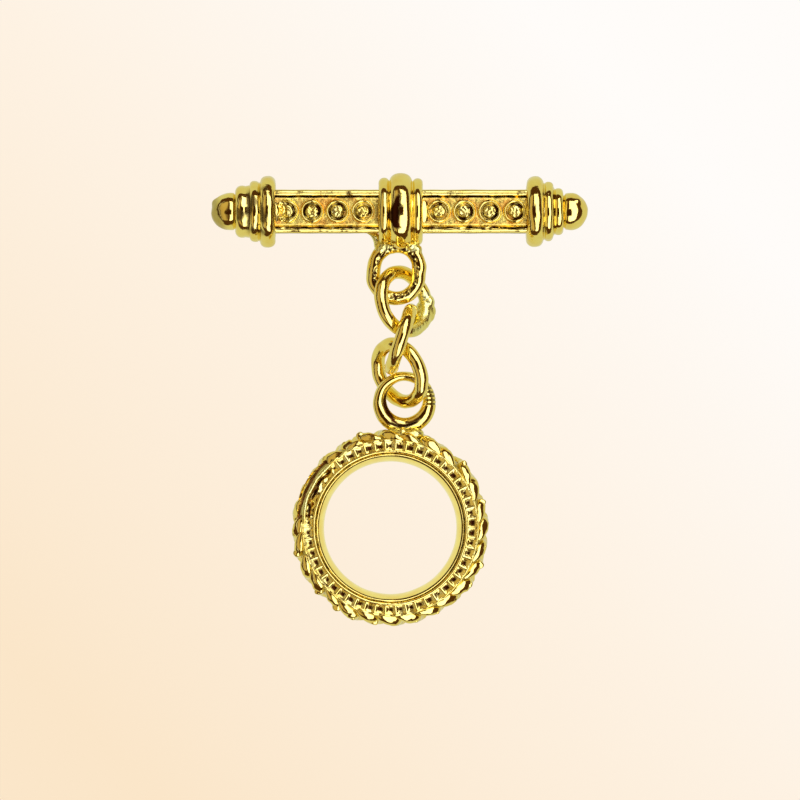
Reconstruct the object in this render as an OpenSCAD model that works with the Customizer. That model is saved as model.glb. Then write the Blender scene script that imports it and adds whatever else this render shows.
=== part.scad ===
// Toggle clasp of gold coloured cast metal: a square bar with turned end caps and a ribbed collar,
// three round jump rings, and a round toggle ring with a pitted face and a rope-like edge.
// All sizes are millimetres. The clasp lies flat on z = 0 and is seen from above.
// +X is the viewer's right, +Y runs from the toggle ring up to the bar, and +Z points up.

/* [Bar] */
// Length of the square bar between its two end caps
bar_len = 22.6; // [18:0.1:30]
// Side of the square bar, over its corner rails
bar_side = 3.9; // [3.4:0.05:5]
// Diameter of the round rail along each long corner
rail_d = 0.66; // [0.4:0.02:0.9]
// Depth of the four long panels below the rails
panel_recess = 0.25; // [0.1:0.01:0.28]
// Width of the seam cut along the lower rail of the front
seam_w = 0.14; // [0.06:0.01:0.2]

/* [Bezels] */
// Bezels on each side of the collar, on the front and on the back
bezels_per_side = 4; // [1:1:4]
// Distance from the middle of the bar to the nearest bezel
bezel_first = 3.42; // [3.3:0.02:3.6]
// Spacing of the bezels
bezel_pitch = 2.28; // [2.05:0.01:2.4]
// Outside diameter of a bezel's raised rim
bezel_d = 1.87; // [1.7:0.01:2]
// Thickness of a bezel's rim
bezel_wall = 0.15; // [0.08:0.01:0.2]
// Height of a bezel above its panel
bezel_h = 0.3; // [0.15:0.01:0.4]
// Diameter of the domed grain inside a bezel
grain_d = 1.28; // [0.9:0.02:1.3]
// Height of the grain above its panel
grain_h = 0.38; // [0.2:0.01:0.45]

/* [End caps] */
// Width of the large ring on the left cap, next to the bar
left_large_w = 1.36; // [1:0.02:2]
// Diameter of the large ring on the left cap
left_large_d = 6.48; // [5.8:0.02:6.8]
// Width of the middle ring on the left cap
left_middle_w = 0.95; // [0.7:0.01:1.4]
// Diameter of the middle ring on the left cap
left_middle_d = 5.49; // [5:0.02:5.7]
// Width of the small ring on the left cap
left_small_w = 1.27; // [0.8:0.01:1.6]
// Diameter of the small ring on the left cap
left_small_d = 4.7; // [4:0.02:4.9]
// Width of the large ring on the right cap, next to the bar
right_large_w = 1.55; // [1:0.02:2]
// Diameter of the large ring on the right cap
right_large_d = 6.39; // [5.8:0.02:6.8]
// Width of the middle ring on the right cap
right_middle_w = 0.87; // [0.7:0.01:1.4]
// Diameter of the middle ring on the right cap
right_middle_d = 5.36; // [5:0.02:5.6]
// Width of the small ring on the right cap
right_small_w = 0.92; // [0.8:0.01:1.6]
// Diameter of the small ring on the right cap
right_small_d = 4.3; // [4:0.02:4.8]
// Diameter of the knob that ends each cap
knob_d = 3.36; // [2.6:0.02:3.8]
// How far a knob stands out of its small ring
knob_out = 2.2; // [1.8:0.02:2.5]

/* [Collar] */
// Width of the middle rib of the collar
collar_w = 1.94; // [1.4:0.02:2.2]
// Diameter of the middle rib, on which the bar rests
collar_d = 6.93; // [6.85:0.01:7.6]
// Width of the rib on each side of the middle one
side_rib_w = 1.0; // [0.6:0.02:1.1]
// Diameter of the side ribs
side_rib_d = 6.2; // [5.6:0.02:6.6]

/* [Bar loop] */
// Wire diameter of the loop under the collar
bar_loop_wire = 1.28; // [1:0.02:1.4]
// Width of the hole in the bar loop
bar_loop_hole = 2.8; // [2.7:0.02:3.2]
// Extra length of the hole over a round one
bar_loop_extra = 0.66; // [0.3:0.02:1]
// Lean of the bar loop to the viewer's left, in degrees
bar_loop_lean = 8; // [0:1:12]

/* [Chain] */
// Wire diameter of the jump rings
link_wire = 1.24; // [1:0.01:1.26]
// Inside diameter of the jump rings
link_hole = 4.2; // [4.18:0.01:4.4]
// Diameter of the solder lump that closes the upper jump ring
lump_d = 1.64; // [1.3:0.02:1.7]

/* [Toggle ring] */
// Diameter of the hole that the bar passes through
ring_hole = 11.92; // [10:0.02:12.5]
// Thickness of the ring from back to front
ring_h = 4.2; // [4.1:0.02:4.6]
// Height of the straight wall in the middle of the hole
hole_land = 1.4; // [1:0.1:2]
// How far the inner wall rounds back at the front and at the back
inner_round = 0.47; // [0.2:0.01:0.6]
// Width of the thin inner rim on the front
thin_rim_w = 0.2; // [0.14:0.01:0.3]
// Width of the groove between the thin rim and the main rim
rim_groove_w = 0.08; // [0.05:0.01:0.2]
// Width of the main rim, the highest part of the front
main_rim_w = 0.26; // [0.24:0.01:0.34]
// Width of the pitted band, across
pit_band_w = 0.78; // [0.7:0.01:0.9]
// Number of pits in the band
pit_count = 50; // [40:1:50]
// Thickness of the walls between the pits
pit_wall = 0.09; // [0.05:0.01:0.2]
// Drop from the main rim to the face of the pitted band
band_drop = 0.22; // [0.1:0.01:0.3]
// Width of the rim outside the pitted band
outer_rim_w = 0.17; // [0.14:0.01:0.24]
// How far the plain edge bulges out of the outer rim
edge_bulge = 0.42; // [0.2:0.01:0.5]
// Height of the straight wall below and above the bulge
edge_straight = 0.38; // [0.2:0.02:0.6]

/* [Rope edge] */
// Number of slanting strands round the edge
strand_count = 28; // [20:1:30]
// Diameter of a strand
strand_d = 1.0; // [0.8:0.01:1.1]
// How far the strands stand out of the plain edge
strand_out = 0.46; // [0.3:0.01:0.5]
// Slant of the strands, in degrees from straight across the edge
strand_slant = 42; // [20:1:50]
// Radius at which a strand bends over the edge
strand_bend = 1.9; // [1.8:0.02:2.1]

/* [Ring loop] */
// Outside diameter of the loop on the toggle ring
ring_loop_d = 5.68; // [5.3:0.02:5.8]
// Wire diameter of the ring loop
ring_loop_wire = 1.18; // [1:0.02:1.24]
// Diameter of the hole in the ring loop
ring_loop_hole = 3.32; // [3.2:0.02:3.4]
// How far the worn hole lies toward the bar
ring_loop_wear = 0.3; // [0:0.02:0.36]
// Number of file cuts on the right of the ring loop
file_cuts = 4; // [1:1:5]
// Width of a file cut
cut_w = 0.22; // [0.1:0.02:0.3]
// Diameter of the solder foot where the ring loop meets the edge
foot_d = 3; // [2.4:0.1:3.6]

/* [Solder fill] */
// Direction of the filled stretch of the ring's face, in degrees from +X
fill_at = 153; // [130:1:165]
// Turn of the filled stretch round the ring, in degrees
fill_turn = 41; // [20:1:60]
// Diameter of the smooth ridge along the fill
ridge_d = 0.38; // [0.2:0.02:0.5]
// How far the ridge swings outward between its ends
ridge_swing = 0.47; // [0.3:0.01:0.6]
// Diameter of the smooth roll of metal outside the ridge
fill_roll_d = 0.92; // [0.7:0.02:1]
// Diameter of the solder lumps beside the bar loop
solder_d = 1.28; // [1:0.02:1.4]
// Diameter of the solder fillet between the bar and the loop
fillet_d = 1.66; // [1.2:0.02:1.8]

/* [Hidden] */
$fn = 64;

gold = "#d8b13c";
gold_pale = "#e6c65a";

// Solids that are soldered together sink this far into each other
sink = 0.1;

// Bare step left inside the thin rim and outside the outer rim
rim_step = 0.03;
// Radii on the toggle ring, from the hole outward
hole_r = ring_hole / 2;
wall_top_r = hole_r + inner_round;
thin_rim_r = wall_top_r + rim_step + thin_rim_w / 2;
main_rim_r = wall_top_r + rim_step + thin_rim_w + rim_groove_w + main_rim_w / 2;
pit_in_r = main_rim_r + main_rim_w / 2;
pit_out_r = pit_in_r + pit_band_w;
outer_rim_r = pit_out_r + outer_rim_w / 2;
plain_r = pit_out_r + outer_rim_w + rim_step;
edge_r = plain_r + edge_bulge;

// Heights at which the pieces lie
bar_z = collar_d / 2;
ring_z = ring_h / 2;

// Middle of the bar loop's hole, seen from above, and how far it clears the collar
bar_loop_mid = [-0.29, 11.47];
collar_gap = 0.245;
// Middle of the bar, which lies its loop's length away and a little to the right
bar_mid = [0.12, bar_loop_mid[1] + (bar_loop_hole + bar_loop_extra) / 2 + collar_gap + collar_d / 2];
// Middle of the ring loop, and the direction in which it stands on the toggle ring
ring_loop_mid = [0.448, -0.312];
ring_loop_dir = 83.5;
// From the middle of the toggle ring to the middle of its loop, which bites into the edge
loop_bite = 0.16;
ring_loop_gap = edge_r + strand_out / 2 + ring_loop_d / 2 - loop_bite;
ring_mid = ring_loop_mid - ring_loop_gap * [cos(ring_loop_dir), sin(ring_loop_dir)];

// Route of the chain, chosen by hand: where each jump ring lies.
// Columns: x, y, z of its middle, lean of its long axis from +X, turn about that axis
CHAIN = [
    [0.349, 8.813, 3.49, 108, 44.9],
    [0.135, 5.431, 3.505, 71.5, 90.2],
    [0.012, 2.401, 2.696, 114.3, -49.1]
];
// Angle round the upper jump ring at which its lump sits
LUMP_AT = 233;

// Angles on the ring loop of the first file cut and from one cut to the next
cut_first = -3;
cut_step = 9;

// Angle round the bar loop at which its solder lumps sit
lump_turn = 44;

link_r = (link_hole + link_wire) / 2;

strand_arc = 140;
band_z = ring_h - band_drop;

// Radius of an arc that bulges by rise over a half chord
function arc_r(half, rise) = (half * half + rise * rise) / (2 * rise);

// Turned disc with a half-round edge, on the X axis, from x = 0 to its width
module bead_disc(w, d) {
    rotate([0, 90, 0]) rotate_extrude() {
        square([d / 2 - w / 2, w]);
        translate([d / 2 - w / 2, w / 2]) intersection() {
            circle(d = w);
            translate([0, -w / 2]) square([w / 2, w]);
        }
    }
}

// Wire ring in the XY plane, round its own middle
module wire_ring(r, wire) {
    rotate_extrude() translate([r, 0]) circle(d = wire);
}

// Cross-section of the bar: a square core with a round rail at each corner
module bar_section() {
    rail_mid = (bar_side - rail_d) / 2;
    square(bar_side - 2 * panel_recess, center = true);
    for (x = [-rail_mid, rail_mid], y = [-rail_mid, rail_mid]) translate([x, y]) circle(d = rail_d);
}

// Seam along the lower front rail, where two strips of the bar meet
module rail_seam() {
    translate([0, -(bar_side - rail_d) / 2, bar_side / 2]) rotate([45, 0, 0])
        cube([bar_len + left_large_w + right_large_w, seam_w / sqrt(2), seam_w / sqrt(2)], center = true);
}

// Raised rim with a domed grain inside, standing on z = 0
module bezel() {
    dome_r = arc_r(grain_d / 2, grain_h);
    translate([0, 0, -sink]) difference() {
        cylinder(d = bezel_d, h = bezel_h + sink);
        cylinder(d = bezel_d - 2 * bezel_wall, h = 2 * (bezel_h + sink));
    }
    intersection() {
        translate([0, 0, grain_h - dome_r]) sphere(r = dome_r);
        translate([0, 0, -sink]) cylinder(d = grain_d, h = grain_h + 2 * sink);
    }
}

// Bezels on one face of the bar, on both sides of the collar
module bezel_row() {
    for (side = [-1, 1], i = [0 : bezels_per_side - 1])
        translate([side * (bezel_first + i * bezel_pitch), 0, bar_side / 2 - panel_recess]) bezel();
}

// Three rings and a knob, from x = 0 outward
module end_cap(large_w, large_d, middle_w, middle_d, small_w, small_d) {
    translate([-sink, 0, 0]) bead_disc(large_w + sink, large_d);
    translate([large_w - sink, 0, 0]) bead_disc(middle_w + sink, middle_d);
    translate([large_w + middle_w - sink, 0, 0]) bead_disc(small_w + sink, small_d);
    translate([large_w + middle_w + small_w + knob_out - knob_d / 2, 0, 0]) sphere(d = knob_d);
}

// Three ribs round the middle of the bar
module collar() {
    translate([-collar_w / 2, 0, 0]) bead_disc(collar_w, collar_d);
    for (side = [0, 1]) mirror([side, 0, 0])
        translate([collar_w / 2 - sink, 0, 0]) bead_disc(side_rib_w + sink, side_rib_d);
}

// Oval loop in the XY plane, long along Y, round the middle of its hole
module oval_loop(hole, extra, wire) {
    path_r = (hole + wire) / 2;
    for (end = [0, 1]) mirror([0, end, 0]) translate([0, extra / 2, 0])
        rotate_extrude(angle = 180) translate([path_r, 0]) circle(d = wire);
    for (side = [-path_r, path_r]) translate([side, 0, 0]) rotate([90, 0, 0])
        cylinder(d = wire, h = extra, center = true);
}

// Solder where the loop meets the collar: a lump on each shoulder and a fillet on the left
module collar_solder() {
    shoulder = (bar_loop_hole + bar_loop_wire) / 2;
    y = bar_mid[1] - collar_d / 2 + solder_d / 4;
    lump_x = shoulder * cos(lump_turn);
    for (side = [-1, 1]) translate([bar_loop_mid[0] + side * lump_x, y, bar_z + solder_d / 4]) sphere(d = solder_d);
    translate([bar_loop_mid[0] - shoulder, y + fillet_d / 2, bar_z]) sphere(d = fillet_d);
}

module toggle_bar() {
    color(gold) {
        translate([bar_mid[0], bar_mid[1], bar_z]) {
            difference() {
                rotate([90, 0, 90]) linear_extrude(bar_len + 2 * sink, center = true) bar_section();
                rail_seam();
            }
            bezel_row();
            mirror([0, 0, 1]) bezel_row();
            collar();
            translate([bar_len / 2, 0, 0])
                end_cap(right_large_w, right_large_d, right_middle_w, right_middle_d, right_small_w, right_small_d);
            mirror([1, 0, 0]) translate([bar_len / 2, 0, 0])
                end_cap(left_large_w, left_large_d, left_middle_w, left_middle_d, left_small_w, left_small_d);
        }
        translate([bar_loop_mid[0], bar_loop_mid[1], bar_z]) rotate(-bar_loop_lean)
            oval_loop(bar_loop_hole, bar_loop_extra, bar_loop_wire);
        collar_solder();
    }
}

// Puts a jump ring drawn in the XY plane where row i of the chain says
module chain_place(i) {
    row = CHAIN[i];
    translate([row[0], row[1], row[2]]) rotate([0, 0, row[3]]) rotate([row[4], 0, 0]) children();
}

module link_upper() {
    color(gold_pale) chain_place(0) {
        wire_ring(link_r, link_wire);
        rotate(LUMP_AT) translate([link_r + (lump_d - link_wire) / 2, 0, 0]) sphere(d = lump_d);
    }
}

module link_middle() {
    color(gold_pale) chain_place(1) wire_ring(link_r, link_wire);
}

module link_lower() {
    color(gold_pale) chain_place(2) wire_ring(link_r, link_wire);
}

// Cross-section of the ring's plain body: rounded inner wall, face and bulging edge
module ring_section() {
    front_h = band_z - ring_z - hole_land / 2;
    back_h = ring_z - hole_land / 2;
    edge_arc = arc_r(band_z / 2 - edge_straight, edge_bulge);
    translate([hole_r, ring_z - hole_land / 2]) square([inner_round + 2 * sink, hole_land]);
    translate([hole_r, ring_z + hole_land / 2]) inner_rounding(front_h);
    translate([hole_r, ring_z - hole_land / 2]) mirror([0, 1]) inner_rounding(back_h);
    translate([wall_top_r + sink, 0]) square([plain_r - wall_top_r - sink, band_z]);
    translate([edge_r - edge_arc, band_z / 2]) intersection() {
        circle(r = edge_arc);
        translate([edge_arc - edge_bulge - sink, -ring_z]) square([edge_bulge + 2 * sink, ring_h]);
    }
    translate([thin_rim_r, band_z]) circle(d = thin_rim_w);
    translate([main_rim_r, ring_h - main_rim_w / 2]) circle(d = main_rim_w);
    translate([outer_rim_r, band_z]) circle(d = outer_rim_w);
}

// Quarter of the inner wall: it bends back by inner_round over a height h, from the origin up
module inner_rounding(h) {
    bend = arc_r(h, inner_round);
    intersection() {
        translate([bend, 0]) circle(r = bend);
        square([inner_round + 2 * sink, h]);
    }
}

// Square pit with four sloping walls, its mouth at z = 0
module pit(across, along) {
    far = 2 * along;
    intersection() {
        rotate([45, 0, 0]) cube([far, along / sqrt(2), along / sqrt(2)], center = true);
        rotate([0, 45, 0]) cube([across / sqrt(2), far, across / sqrt(2)], center = true);
    }
}

module pit_ring() {
    mid_r = (pit_in_r + pit_out_r) / 2;
    along = 2 * PI * mid_r / pit_count - pit_wall;
    for (i = [0 : pit_count - 1])
        rotate(i * 360 / pit_count) translate([mid_r, 0, band_z]) pit(pit_band_w - pit_wall, along);
}

// Slanting strand: an arc of round wire that runs over the edge from the front to the back
module strand() {
    translate([edge_r + strand_out - strand_d / 2 - strand_bend, 0, band_z / 2])
        rotate([90 + strand_slant, 0, 0]) rotate(-strand_arc / 2)
        rotate_extrude(angle = strand_arc) translate([strand_bend, 0]) circle(d = strand_d);
}

// Solder that filled the face at the upper left: a smooth ridge and a smooth roll outside it
module filled_stretch() {
    spread = fill_turn / 2;
    ridge_reach = plain_r + ridge_d / 4;
    ridge_end = ridge_reach - ridge_swing;
    half = ridge_end * sin(spread);
    ridge_r = arc_r(half, ridge_reach - ridge_end * cos(spread));
    ridge_turn = asin(half / ridge_r);
    rotate(fill_at) translate([ridge_reach - ridge_r, 0, band_z]) rotate(-ridge_turn)
        rotate_extrude(angle = 2 * ridge_turn) translate([ridge_r, 0]) circle(d = ridge_d);
    rotate(fill_at - spread) rotate_extrude(angle = fill_turn)
        translate([plain_r + sink, band_z - fill_roll_d / 2 - sink]) circle(d = fill_roll_d);
}

// Loop in the XY plane round its own middle, its hole worn toward +Y, with file cuts on its right
module ring_loop() {
    neck = ring_loop_hole / 2;
    lip = ring_loop_wire / 2;
    difference() {
        wire_ring((ring_loop_d - ring_loop_wire) / 2, ring_loop_wire);
        translate([0, ring_loop_wear, 0]) rotate_extrude() difference() {
            translate([0, -lip]) square([neck + lip, 2 * lip]);
            translate([neck + lip, 0]) circle(r = lip);
        }
        for (i = [0 : file_cuts - 1]) rotate(cut_first + cut_step * i)
            translate([ring_loop_d / 2, 0, 0]) cylinder(d = cut_w, h = 2 * ring_loop_wire, center = true);
    }
}

// Solder foot between the edge and the ring loop, pointing out of the ring along +X
module loop_foot() {
    foot_end = ring_loop_gap - ring_loop_d / 2 + ring_loop_wire / 2;
    translate([plain_r - sink, 0, ring_z]) rotate([0, 90, 0])
        cylinder(d1 = foot_d, d2 = foot_d / 2, h = foot_end - plain_r + sink);
}

module toggle_ring() {
    color(gold) translate([ring_mid[0], ring_mid[1], 0]) {
        difference() {
            rotate_extrude() ring_section();
            pit_ring();
        }
        for (i = [0 : strand_count - 1]) rotate(i * 360 / strand_count) strand();
        filled_stretch();
        rotate(ring_loop_dir) loop_foot();
        rotate(ring_loop_dir) translate([ring_loop_gap, 0, ring_z]) rotate(-ring_loop_dir) ring_loop();
    }
}

toggle_bar();
link_upper();
link_middle();
link_lower();
toggle_ring();
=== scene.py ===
"""Looks of a gold plated toggle clasp: bar with end caps and collar, three jump rings, and toggle ring."""

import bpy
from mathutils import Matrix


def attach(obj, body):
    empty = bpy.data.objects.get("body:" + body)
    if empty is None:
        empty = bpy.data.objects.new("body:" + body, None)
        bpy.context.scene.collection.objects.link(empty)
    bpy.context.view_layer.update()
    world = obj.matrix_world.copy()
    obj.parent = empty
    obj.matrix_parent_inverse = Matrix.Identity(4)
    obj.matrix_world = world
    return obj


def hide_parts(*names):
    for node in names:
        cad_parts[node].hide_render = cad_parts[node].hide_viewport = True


bl_info = {
    "name": "Toggle Clasp",
    "version": (1, 0, 0),
    "blender": (4, 5, 0),
    "location": "3D View > Sidebar > Toggle Clasp",
    "description": "Builds a cast and gold plated toggle clasp on a pale table",
    "category": "Add Mesh",
}

import math

import bmesh
import bpy
from mathutils import Matrix, Vector, noise

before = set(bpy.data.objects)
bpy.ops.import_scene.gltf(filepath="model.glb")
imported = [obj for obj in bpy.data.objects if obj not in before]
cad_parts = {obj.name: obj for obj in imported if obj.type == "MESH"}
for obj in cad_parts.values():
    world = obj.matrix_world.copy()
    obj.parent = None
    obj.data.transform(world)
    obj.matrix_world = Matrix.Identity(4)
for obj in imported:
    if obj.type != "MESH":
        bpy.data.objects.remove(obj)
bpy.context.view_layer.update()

MM = 0.001

# Places of the pieces in millimetres, as the solids have them
BAR_MID = Vector((0.12, 16.91, 3.465))
BAR_LOOP_MID = Vector((-0.29, 11.47, 3.465))
BAR_LOOP_LEAN = 8
RING_MID = Vector((-0.8323, -11.5493, 2.1))
RING_LOOP_MID = Vector((0.448, -0.312, 2.1))
# One row per jump ring: middle, lean of its long axis from +X, turn about that axis
CHAIN = {
    "link_upper": ((0.349, 8.813, 3.49), 108, 44.9),
    "link_middle": ((0.135, 5.431, 3.505), 71.5, 90.2),
    "link_lower": ((0.012, 2.401, 2.696), 114.3, -49.1),
}
# Lumps of solder on the upper jump ring: angle round it, how far out, how far off its plane, width
LINK_SOLDER = (
    (205, 2.75, -0.05, 1.3), (215, 2.75, -0.2, 1.45), (224, 2.85, -0.3, 1.55), (233, 3.0, -0.3, 1.64),
    (233, 2.55, -0.5, 1.3), (242, 3.05, -0.1, 1.5), (248, 2.7, -0.3, 1.35), (256, 2.9, 0.1, 1.4),
)
# Lumps of solder between the collar and the bar loop: place and width
BAR_LOOP_SOLDER = (
    (-1.42, 13.85, 3.7, 1.2), (-1.7, 13.5, 3.6, 1.1), (1.15, 13.8, 3.7, 1.2), (1.5, 13.45, 3.6, 1.1),
    (-0.7, 13.75, 3.5, 1.3), (0.3, 13.75, 3.5, 1.3), (-1.95, 13.9, 3.5, 0.7), (-2.0, 14.3, 3.5, 0.7),
    (-2.15, 14.65, 3.5, 0.7), (-2.4, 14.82, 3.5, 0.5), (-2.65, 14.93, 3.5, 0.36), (-2.9, 15.0, 3.5, 0.25),
)
# Lumps of solder at the foot of the ring loop: place from the loop's middle, width and depth
RING_LOOP_SOLDER = ((0.9, -2.75, 0.6, 1.7, 1.0), (0.1, -3.0, 0.75, 2.6, 1.3), (-0.9, -2.78, 0.5, 1.5, 0.9))

# Bezels: distance of the first from the bar's middle, and from one to the next
BEZEL_FIRST, BEZEL_STEP = 3.42, 2.28
# Rim of a bezel as (up, out) points: moat round the grain, inner wall, rounded crown, outer wall
BEZEL_RIM = [
    (0.2, 0.545), (0.12, 0.585), (0.05, 0.615), (0.02, 0.66), (0.01, 0.7), (0.02, 0.74), (0.08, 0.77),
    (0.18, 0.8), (0.25, 0.84), (0.285, 0.9), (0.27, 0.96), (0.21, 1.01), (0.1, 1.05), (0.0, 1.08),
    (-0.08, 1.13), (-0.08, 0),
]

# Front of the bar, from its middle: where it begins, each groove's place, depth and half width, and the
# painted shade in the grooves
FRONT_FROM = 1.3
GROOVES = ((1.33, 0.12, 0.09), (-1.5, 0.2, 0.09))
GROOVE_SHADE = (1.33, -1.48)
# Distances from the toggle ring's middle: foot of the thin rim, groove beyond that rim, line of painted
# shade inside the outer rim, and that rim's outer side
THIN_RIM_FOOT, RIM_GROOVE, SHADE_LINE, RIM_OUT = 6.465, 6.69, 7.7, 7.98
# Band of pits: its inner and outer side, and the middle and half length of a pit
BAND_IN, BAND_OUT = 7.0, 7.8
PIT_MID, PIT_HALF = 7.405, 0.4
# Stretch of the ring's face that solder has filled, in degrees
FILL_FROM, FILL_TO = 133, 176


def linear(hex_colour):
    """sRGB hex to the linear colour that a shader takes"""
    parts = [int(hex_colour[i:i + 2], 16) / 255 for i in (1, 3, 5)]
    return [c / 12.92 if c <= 0.04045 else ((c + 0.055) / 1.055) ** 2.4 for c in parts] + [1.0]


# Settings

def length(name, description, mm):
    """Length property with its default in millimetres"""
    return bpy.props.FloatProperty(name=name, description=description, default=mm * MM, min=0.0,
                                   unit="LENGTH")


def colour(name, description, hex_colour):
    """Colour property with its default as sRGB hex"""
    return bpy.props.FloatVectorProperty(name=name, description=description, default=linear(hex_colour),
                                         size=4, min=0.0, max=1.0, subtype="COLOR")


class ToggleBarSettings(bpy.types.PropertyGroup):
    """Sizes of the bar"""
    length: length("Bar Length", "Length of the square bar between its end caps", 22.6)
    side: length("Bar Side", "Side of the square bar over its rails", 3.9)
    rail: length("Rail Diameter", "Diameter of the rail along each long corner", 0.66)
    recess: length("Panel Recess", "Depth of the panels below the rails", 0.25)
    knob: length("Knob Diameter", "Diameter of the knob on each end cap", 3.36)
    collar: length("Collar Diameter", "Diameter of the collar's middle rib", 6.93)
    loop_wire: length("Bar Loop Wire", "Diameter of the wire of the loop under the collar", 1.28)
    bezels: bpy.props.IntProperty(name="Bezels", description="Bezels on each side of the collar",
                                  default=4, min=1, max=4)


class ChainSettings(bpy.types.PropertyGroup):
    """Sizes of the jump rings"""
    wire: length("Wire", "Diameter of the jump rings' wire", 1.24)
    across: length("Ring Diameter", "Outer diameter of a jump ring", 6.68)


class ToggleRingSettings(bpy.types.PropertyGroup):
    """Sizes of the toggle ring"""
    height: length("Ring Height", "Height of the toggle ring from its back to its face", 4.2)
    pit_depth: length("Pit Depth", "Depth of the square pits round the face", 0.2)
    strand: length("Strand Diameter", "Thickness of the strands round the edge", 0.9)
    loop_hole: length("Loop Hole", "Diameter of the hole worn in the ring's loop", 3.3)
    pits: bpy.props.IntProperty(name="Pits", description="Square pits round the face", default=50,
                                min=12, max=80)
    strands: bpy.props.IntProperty(name="Strands", description="Strands round the edge", default=28,
                                   min=8, max=40)


class GoldSettings(bpy.types.PropertyGroup):
    """Colours of the plate and of what darkens it"""
    polished_light: colour("Polished Light", "Tumbled plate where it is thin and pale", "#FBE683")
    polished_deep: colour("Polished Deep", "Tumbled plate where it is thick", "#F6DA72")
    satin_light: colour("Satin Light", "Yellow patches of the plate that no polish reached", "#FFE978")
    satin_deep: colour("Satin Deep", "Orange patches of the plate that no polish reached", "#F6B851")
    worn_light: colour("Worn Light", "Rubbed plate on bezels and ring face, palest patches", "#FBEA8E")
    worn_deep: colour("Worn Deep", "Rubbed plate on bezels and ring face, elsewhere", "#F5DB70")
    solder_light: colour("Solder Light", "Thin plate over solder, palest patches", "#F6F0A0")
    solder_deep: colour("Solder Deep", "Thin plate over solder, elsewhere", "#EFDF80")
    scorched_light: colour("Scorched Light", "Brown skin that the torch left, at its palest", "#B07A38")
    scorched_deep: colour("Scorched Deep", "Brown skin that the torch left, at its darkest", "#845224")
    # This dark colour serves real oxide and also the painted shade in creases, grooves, pits and between
    # parts
    oxide_and_shade: colour("Oxide", "Dark oxide in grooves and pits", "#3E1C08")


class StudioSettings(bpy.types.PropertyGroup):
    """Camera and colours of the table"""
    lens: bpy.props.FloatProperty(name="Lens", description="Focal length, long as for a catalogue shot",
                                  default=600.0, min=50.0, max=2000.0, unit="CAMERA")
    view_width: length("View Width", "Width of the table that the picture takes in", 72)
    table_near: colour("Table Near", "Card in the lower left corner of the picture", "#FBE6C9")
    table_middle: colour("Table Middle", "Card in the middle of the picture", "#FEF2E3")
    table_far: colour("Table Far", "Card in the upper right corner of the picture", "#FFFCF9")


SETTINGS = {"toggle_bar_settings": ToggleBarSettings, "chain_settings": ChainSettings,
            "toggle_ring_settings": ToggleRingSettings, "gold_settings": GoldSettings,
            "studio_settings": StudioSettings}


# Meshes

def ramp(value, low, high):
    """Rises smoothly from 0 at low to 1 at high"""
    share = min(1.0, max(0.0, (value - low) / (high - low)))
    return share * share * (3 - 2 * share)


def speckle(co, grain, seed):
    """Smooth noise of the given grain in millimetres"""
    return noise.noise(co / grain + Vector((seed * 7.3, seed * 1.9, seed * 3.1)))


def arc(mid_a, mid_r, radius, start, end, count):
    """Points of an arc in the plane of an outline, from one angle to another, in degrees"""
    turns = [math.radians(start + (end - start) * i / count) for i in range(count + 1)]
    return [(mid_a + radius * math.cos(t), mid_r + radius * math.sin(t)) for t in turns]


def bead(start, width, out, crown, count):
    """Outline of a turned bead: half-round where crown is 2, flatter on top where it is more"""
    half = width / 2
    points = []
    for i in range(count + 1):
        turn = math.pi * (1 - i / count)
        c, s = math.cos(turn), math.sin(turn)
        points.append((start + half + half * math.copysign(abs(c) ** (2 / crown), c),
                       out - half + half * s ** (2 / crown)))
    return points


def full_spin(bm, geom, axis, steps):
    """Spins points and edges once round an axis through the origin"""
    bmesh.ops.spin(bm, geom=geom, cent=(0, 0, 0), axis=axis, dvec=(0, 0, 0), angle=2 * math.pi,
                   steps=steps, use_merge=True, use_normal_flip=False, use_duplicate=False)


def turned(bm, outline, steps, closed=False):
    """Spins an outline of (along X, out from X) points round the X axis"""
    verts = [bm.verts.new((a, 0, r)) for a, r in outline]
    pairs = list(zip(verts, verts[1:])) + ([(verts[-1], verts[0])] if closed else [])
    full_spin(bm, verts + [bm.edges.new(pair) for pair in pairs], (1, 0, 0), steps)


def edges_of(made):
    """Edges of a circle that was just made, in a fixed order"""
    return list(dict.fromkeys(e for v in made["verts"] for e in v.link_edges))


def loft(bm, stations, sides):
    """Skin over circles, each given as (matrix, radius); the two ends are closed"""
    before = None
    for i, (matrix, radius) in enumerate(stations):
        made = bmesh.ops.create_circle(bm, cap_ends=i in (0, len(stations) - 1), radius=radius,
                                       segments=sides, matrix=matrix)
        loop = edges_of(made)
        if before:
            bmesh.ops.bridge_loops(bm, edges=before + loop)
        before = loop


def round_wire(bm, path_r, wire, steps=144, sides=32):
    """Wire ring in the XY plane"""
    upright = Matrix.Translation((path_r, 0, 0)) @ Matrix.Rotation(math.pi / 2, 4, "X")
    made = bmesh.ops.create_circle(bm, cap_ends=False, radius=wire / 2, segments=sides, matrix=upright)
    full_spin(bm, made["verts"] + edges_of(made), (0, 0, 1), steps)


def blob(bm, place, size, detail):
    """Rounded lump of solder, as wide as size says on each axis"""
    bmesh.ops.create_icosphere(bm, subdivisions=detail, radius=0.5,
                               matrix=Matrix.Translation(place) @ Matrix.Diagonal((*size, 1)))


def hand_work(bm, amount, grain, seed, keep=None):
    """Pushes the skin in and out by a little, as casting and tumbling leave it"""
    bm.normal_update()
    moves = []
    for v in bm.verts:
        share = keep(v.co) if keep else 1.0
        if share > 0:
            moves.append((v, v.normal * (amount * share * speckle(v.co, grain, seed))))
    for v, move in moves:
        v.co += move


def swell(bm, centre, reach, amount):
    """Raises a soft bump round a point of the skin"""
    bm.normal_update()
    for v in bm.verts:
        v.co += v.normal * amount * ramp(reach - (v.co - centre).length, 0, reach)


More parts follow.
